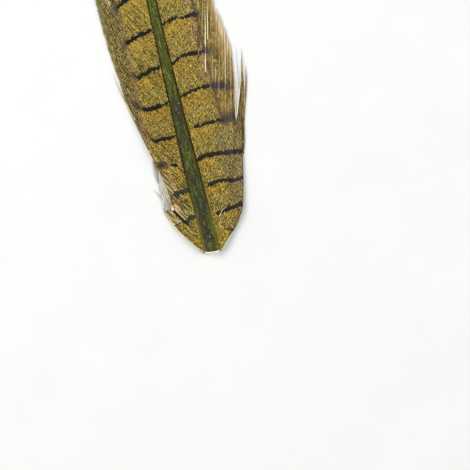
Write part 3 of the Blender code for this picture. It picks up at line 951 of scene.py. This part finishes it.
def barb_material(side):
    t = Tree(f"{'left' if side == LEFT else 'right'}_barbs")
    m = vane_masks(t, side)
    colour = {LEFT: left_ground, RIGHT: right_ground}[side](t, m)
    m.lines, m.strength, m.lit, m.specks = {LEFT: left_lines, RIGHT: right_lines}[side](t, m)
    for add in (add_lines, add_specks, add_ends, add_crease, add_bars, add_undersides):
        colour = add(t, side, m, colour)
    t.bump(m.speckle, 0.35, 0.00006)
    return t.finish(colour, t.ramp(m.speckle, 0.2, 0.8, 0.5, 0.72), 0.2)


OLIVE_KERATIN, SLATE_KERATIN, STREAK = (76, 82, 24), (52, 55, 41), (126, 129, 54)
PIT, RUST, FLECK = (32, 32, 14), (92, 66, 34), (186, 186, 120)
# SHAFT_EDGE_SHADE is painted shade along the shaft's sides
SHAFT_EDGE_SHADE, PALE_EDGE, SHAFT_UNDERSIDE = (28, 22, 8), (124, 119, 48), (118, 112, 66)
PITH = (236, 226, 196), (255, 250, 234)  # the pair that the cut end shows


def shaft_material():
    t = Tree("keratin")
    crown, cut, under, along = t.attribute("shaft")
    place = t.place()
    streaks = t.noise(t.stretch(place, 6), 1500, 2, 0.6)
    clouds = t.noise(t.stretch(place, 4), 420, 3, 0.6)
    grain = t.noise(place, 1700, 2, 0.6)
    slate = t.plus(t.times(clouds, 0.75), t.times(streaks, 0.3))
    slate = t.plus(slate, t.ramp(crown, 0.3, 1, -0.06, 0.05))
    slate = t.minus(slate, t.ramp(along, 40, 60, 0, 0.09))
    # painted shade darkens both edges towards the tip, and both edges are pale next to the butt
    edge = t.times(t.ramp(crown, 0.15, 0.75, 0.85, 0), t.ramp(along, 6, 40, 0.1, 1.1))
    pale_edge = t.times(t.ramp(crown, 0.2, 0.75, 0.55, 0), t.fall(along, 8, 20))
    colour = t.layers(
        t.mix(t.ramp(slate, 0.46, 0.62), OLIVE_KERATIN, SLATE_KERATIN),
        (t.ramp(streaks, 0.52, 0.66, 0, t.ramp(along, 44, 80, 0.45, 0.9)), STREAK),
        (t.ramp(grain, 0.38, 0.5, 0.75, 0), PIT),
        (t.ramp(clouds, 0.6, 0.72, 0, 0.3), RUST),
        (t.ramp(grain, 0.68, 0.74), FLECK),
        (edge, SHAFT_EDGE_SHADE),
        (pale_edge, PALE_EDGE),
        (t.times(under, 0.7), SHAFT_UNDERSIDE),
        (t.ramp(cut, 0.5, 0.75), t.mix(streaks, *PITH)))
    t.bump(streaks, 0.4, 0.00008)
    return t.finish(colour, t.ramp(streaks, 0.2, 0.8, 0.45, 0.65), 0.12)


# --- Shaft ---


def shaft_outline(steps):
    """The cross-section as a smooth ring of (v, z) shares, from the middle of the underside on."""
    right = [(0, 0), (0.34, 0)] + list(SHAFT_SECTION) + [(0, 1)]
    left = [(-v, z) for v, z in right[-2:0:-1]]
    corners = np.array(right + left, float)
    n = len(corners)
    ring = []
    for i in range(n):
        p0, p1, p2, p3 = (corners[(i + k) % n] for k in (-1, 0, 1, 2))
        for t in np.arange(steps) / steps:
            square, cube = (2 * p0 - 5 * p1 + 4 * p2 - p3) * t**2, (3 * p1 - p0 - 3 * p2 + p3) * t**3
            ring.append(0.5 * (2 * p1 + (p2 - p0) * t + square + cube))
    ring = np.array(ring)
    ring[:, 1] = np.clip(ring[:, 1], 0, 1)
    return ring


def cut_back(v, z):
    return -CUT_FOREMOST + CUT_CURVE * (v - CUT_AXIS) ** 2 + CUT_SLANT * z / shaft_height(0)


def build_shaft():
    outline = shaft_outline(4)
    k = len(outline)
    stations = SHAFT_LENGTH * (np.arange(221) / 220) ** 1.1
    half, height = shaft_half_width(stations)[:, None], shaft_height(stations)[:, None]
    v, z = half * outline[:, 0], height * outline[:, 1]
    groove = np.exp(-((outline[:, 0] / 0.22) ** 2)) * (outline[:, 1] < 0.3)
    groove = groove * smooth(stations, 14, 30)[:, None]
    z = z + 0.16 * height * groove
    knobs = np.random.default_rng(61).normal(0, 1, (len(stations), k))
    for axis in (0, 1):
        for _ in range(3):
            knobs = (knobs + np.roll(knobs, 1, axis) + np.roll(knobs, -1, axis)) / 3
    z = np.clip(z + 0.06 * knobs * (outline[:, 1] > 0.5), 0, None)
    u = np.repeat(stations[:, None], k, 1)
    u = u + cut_back(v[0], z[0]) * np.clip(1 - stations / 3, 0, 1)[:, None]
    rows = [to_row(u[i], v[i], z[i] + lift(u[i])) for i in range(len(stations))]

    centre = np.array([0, height[0, 0] / 2])
    ends = []
    for size, depth in ((0.8, 0), (0.72, 0.28), (0.3, 0.34), (0.02, 0.36)):
        ev = centre[0] + (v[0] - centre[0]) * size
        ez = centre[1] + (z[0] - centre[1]) * size
        ends.append(to_row(cut_back(ev, ez) + depth, ev, ez))
    last = rows[-1].mean(0)
    tip = [last + (rows[-1] - last) * s + (0, 0.15 * (1 - s), 0) for s in (0.6, 0.05)]
    rings = np.array(ends[::-1] + rows + tip)
    cut = np.array([1] * len(ends) + [0] * (len(rows) + len(tip)))
    cut[len(ends)] = 1
    crown = np.where(outline[:, 1] > 0.3, np.clip(1 - np.abs(outline[:, 0]) ** 2.2, 0, 1), 0.6)
    under = smooth(-outline[:, 1], -0.35, -0.1)

    count = len(rings)
    index = np.arange(count * k).reshape(count, k)
    turned = np.roll(index, -1, axis=1)
    faces = np.stack([index[:-1], index[1:], turned[1:], turned[:-1]], axis=-1).reshape(-1, 4)
    faces = faces.tolist() + [index[0].tolist(), index[-1, ::-1].tolist()]
    mesh = bpy.data.meshes.new("shaft_detail")
    mesh.from_pydata((rings.reshape(-1, 3) * MM).tolist(), [], faces)
    values = np.zeros((count, k, 4), np.float32)
    values[..., 0] = crown
    values[..., 1] = cut[:, None]
    values[..., 2] = under
    values[..., 3] = np.clip(rings.mean(1)[:, 1] - ORIGIN[1], 0, None)[:, None]
    mesh.attributes.new("shaft", "FLOAT_COLOR", "POINT").data.foreach_set("color", values.ravel())
    mesh.shade_smooth()
    mesh.set_sharp_from_angle(angle=0.9)
    mesh.materials.append(shaft_material())
    thing = put_in_scene("shaft_detail", mesh)
    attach(thing, "root")
    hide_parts("shaft")


# --- Put together ---

for label, side in (("left", LEFT), ("right", RIGHT)):
    piece = build_strips(f"{label}_barbs", [vane_barbs(side)] + loose_strands(side), f"{label}_vane")
    piece.data.materials.append(barb_material(side))
build_shaft()


def floor_material():
    t = Tree("floor")
    paper = t.noise(t.place(), 40, 4, 0.6)
    return t.finish(t.mix(paper, (0.80, 0.80, 0.79, 1), (0.86, 0.86, 0.85, 1)), 0.9, 0.5)


floor_mesh = bpy.data.meshes.new("floor")
floor_mesh.from_pydata([(-4, -4, 0), (4, -4, 0), (4, 4, 0), (-4, 4, 0)], [], [(0, 1, 2, 3)])
floor_mesh.materials.append(floor_material())
floor = put_in_scene("floor", floor_mesh)

scene = bpy.context.scene
scene.view_settings.view_transform = "Standard"
world = bpy.data.worlds.new("studio")
scene.world = world
world.use_nodes = True
sky = world.node_tree.nodes["Background"].inputs
sky["Color"].default_value = (1, 1, 1, 1)
sky["Strength"].default_value = 0.66

LIT_POINT = (0, -0.05, 0)


def area_light(name, location, size, power):
    data = bpy.data.lights.new(name, "AREA")
    data.energy = power
    data.size = size
    light = put_in_scene(name, data)
    light.location = location
    light.rotation_mode = "QUATERNION"
    light.rotation_quaternion = Vector(np.subtract(LIT_POINT, location)).to_track_quat("-Z", "Y")


area_light("key", (-0.5, 0.4, 0.8), 0.6, 6)
area_light("fill", (0.7, -0.3, 0.9), 0.8, 3.2)

# The camera looks straight down. The middle of its frame is above (VIEW_U, VIEW_V), the frame is
# VIEW_WIDTH wide at VIEW_HEIGHT, and its upward direction is turned from the shaft's.
VIEW_U, VIEW_V, VIEW_HEIGHT, VIEW_WIDTH = 3.83, 8.85, 1.2, 160.74
UPWARD = (0.2369, 0.9715)
camera_data = bpy.data.cameras.new("camera")
camera_data.lens = 200
camera_data.sensor_width = 36
camera = put_in_scene("camera", camera_data)
aim = (ORIGIN + (VIEW_V, VIEW_U, VIEW_HEIGHT)) * MM
distance = VIEW_WIDTH * MM / 2 / (camera_data.sensor_width / 2 / camera_data.lens)
camera.location = (aim[0], aim[1], aim[2] + distance)
camera.rotation_euler = (0, 0, -math.atan2(*UPWARD))
scene.camera = camera
